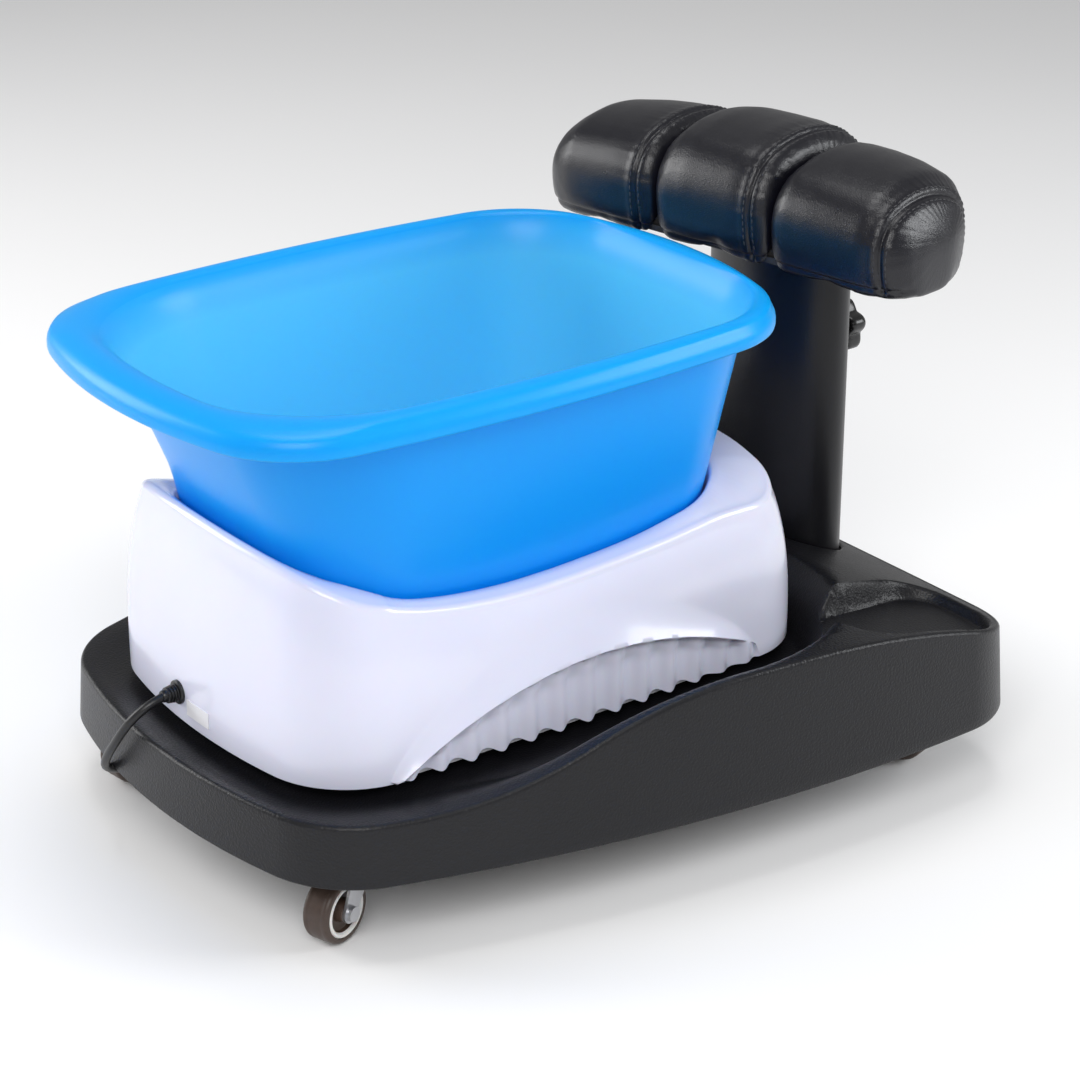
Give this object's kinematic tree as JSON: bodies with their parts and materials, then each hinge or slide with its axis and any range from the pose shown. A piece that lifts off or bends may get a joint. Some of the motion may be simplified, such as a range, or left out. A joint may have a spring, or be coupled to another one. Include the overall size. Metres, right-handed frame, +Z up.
{
  "type": "rolling pedicure foot spa",
  "caption": "Low foot spa trolley on swivel casters: a loose translucent basin in a heated cradle, a tray recess each side and a padded footrest on a height adjustable column.",
  "frame": {"origin": "on the floor under the middle of the trolley", "axes": "+X from the basin end to the footrest column, +Y across to the side with the switch, +Z up"},
  "size_m": [0.5619, 0.454, 0.3975],
  "materials": {
    "base_plastic": "black plastic with a fine moulded grain",
    "board": "black sealed board",
    "zinc": "bright zinc plated steel",
    "column_paint": "black satin powder coat",
    "black_plastic": "black nylon",
    "post_steel": "chromed tube",
    "plywood": "raw plywood",
    "pad_leather": "black upholstery leatherette with a fine grain",
    "housing_plastic": "white glossy plastic",
    "foot_rubber": "black rubber",
    "heater": "plain aluminium sheet",
    "circuit": "green circuit board",
    "cord_rubber": "black flexible plastic",
    "label": "white blank plate",
    "wheel_core": "white plastic with a dark hub",
    "wheel_tyre": "dark brown polyurethane tread",
    "basin_plastic": "translucent blue plastic"
  },
  "bodies": {
    "cart": {"base_shell": "base_plastic", "base_board": "board", "board_screws": "zinc", "caster_plate_1": "zinc", "caster_plate_2": "zinc", "caster_plate_3": "zinc", "caster_plate_4": "zinc", "caster_screws": "zinc", "column_flange": "column_paint", "column_bolts": "zinc", "column_tube": "column_paint", "column_bush": "black_plastic", "clamp_nut": "zinc", "unit_housing": "housing_plastic", "unit_plate": "housing_plastic", "unit_feet": "foot_rubber", "housing_screws": "zinc", "heater_plate": "heater", "motor_body": "zinc", "motor_bracket": "zinc", "circuit_board": "circuit", "switch_bezel": "black_plastic", "cord_gland": "cord_rubber", "label_plate": "label", "cord_lead": "cord_rubber", "cord_coil": "cord_rubber", "cord_tie": "cord_rubber", "mains_plug": "cord_rubber"},
    "caster_front_near": {"caster_fork_1": "zinc", "caster_axle_1": "zinc"},
    "wheel_front_near": {"wheel_core_1": "wheel_core", "wheel_tyre_1": "wheel_tyre"},
    "caster_front_far": {"caster_fork_2": "zinc", "caster_axle_2": "zinc"},
    "wheel_front_far": {"wheel_core_2": "wheel_core", "wheel_tyre_2": "wheel_tyre"},
    "caster_rear_near": {"caster_fork_3": "zinc", "caster_axle_3": "zinc"},
    "wheel_rear_near": {"wheel_core_3": "wheel_core", "wheel_tyre_3": "wheel_tyre"},
    "caster_rear_far": {"caster_fork_4": "zinc", "caster_axle_4": "zinc"},
    "wheel_rear_far": {"wheel_core_4": "wheel_core", "wheel_tyre_4": "wheel_tyre"},
    "footrest": {"footrest_post": "post_steel", "head_plate": "column_paint", "head_screws": "zinc", "footrest_board": "plywood", "pad_centre": "pad_leather", "pad_far": "pad_leather", "pad_near": "pad_leather"},
    "clamp_slide": {"clamp_shoe": "black_plastic"},
    "clamp_screw": {"clamp_stud": "zinc", "clamp_knob": "black_plastic"},
    "basin": {"basin": "basin_plastic"},
    "motor_rotor": {"motor_shaft": "zinc", "motor_weight": "zinc"},
    "switch_rocker": {"switch_rocker": "black_plastic"}
  },
  "joints": [
    {"name": "front_near_swivel", "type": "hinge", "parent": "cart", "child": "caster_front_near", "pos_m": [-0.207, -0.117, 0.046], "axis": [0, 0, 1], "continuous": true},
    {"name": "front_near_roll", "type": "hinge", "parent": "caster_front_near", "child": "wheel_front_near", "pos_m": [-0.2211, -0.12213, 0.02], "axis": [-0.342, 0.9397, 0], "continuous": true},
    {"name": "front_far_swivel", "type": "hinge", "parent": "cart", "child": "caster_front_far", "pos_m": [-0.207, 0.117, 0.046], "axis": [0, 0, 1], "continuous": true},
    {"name": "front_far_roll", "type": "hinge", "parent": "caster_front_far", "child": "wheel_front_far", "pos_m": [-0.22185, 0.11491, 0.02], "axis": [-0.1392, 0.9903, 0], "continuous": true},
    {"name": "rear_near_swivel", "type": "hinge", "parent": "cart", "child": "caster_rear_near", "pos_m": [0.191, -0.144, 0.046], "axis": [0, 0, 1], "continuous": true},
    {"name": "rear_near_roll", "type": "hinge", "parent": "caster_rear_near", "child": "wheel_rear_near", "pos_m": [0.19488, -0.15849, 0.02], "axis": [-0.9659, -0.2588, 0], "continuous": true},
    {"name": "rear_far_swivel", "type": "hinge", "parent": "cart", "child": "caster_rear_far", "pos_m": [0.191, 0.144, 0.046], "axis": [0, 0, 1], "continuous": true},
    {"name": "rear_far_roll", "type": "hinge", "parent": "caster_rear_far", "child": "wheel_rear_far", "pos_m": [0.17741, 0.15034, 0.02], "axis": [0.4226, 0.9063, 0], "continuous": true},
    {"name": "footrest_height", "type": "slide", "parent": "cart", "child": "footrest", "axis": [0, 0, 1], "range_m": [0, 0.115]},
    {"name": "clamp_travel", "type": "slide", "parent": "cart", "child": "clamp_slide", "axis": [1, 0, 0], "range_m": [0, 0.0015]},
    {"name": "clamp_turn", "type": "hinge", "parent": "clamp_slide", "child": "clamp_screw", "pos_m": [0.271, 0, 0.236], "axis": [1, 0, 0], "range_deg": [0, 360]},
    {"name": "basin_lift", "type": "slide", "parent": "cart", "child": "basin", "axis": [-0.2164, 0, 0.9763], "range_m": [0, 0.2]},
    {"name": "motor_spin", "type": "hinge", "parent": "cart", "child": "motor_rotor", "pos_m": [0.013, -0.045, 0.108], "axis": [1, 0, 0], "continuous": true},
    {"name": "switch_rock", "type": "hinge", "parent": "cart", "child": "switch_rocker", "pos_m": [-0.161, 0.12738, 0.15], "axis": [0, 0, -1], "range_deg": [0, 11]}
  ],
  "couplings": [
    {"joint": "clamp_travel", "follows": "clamp_turn", "m_per_rad": 0.00023873}
  ]
}
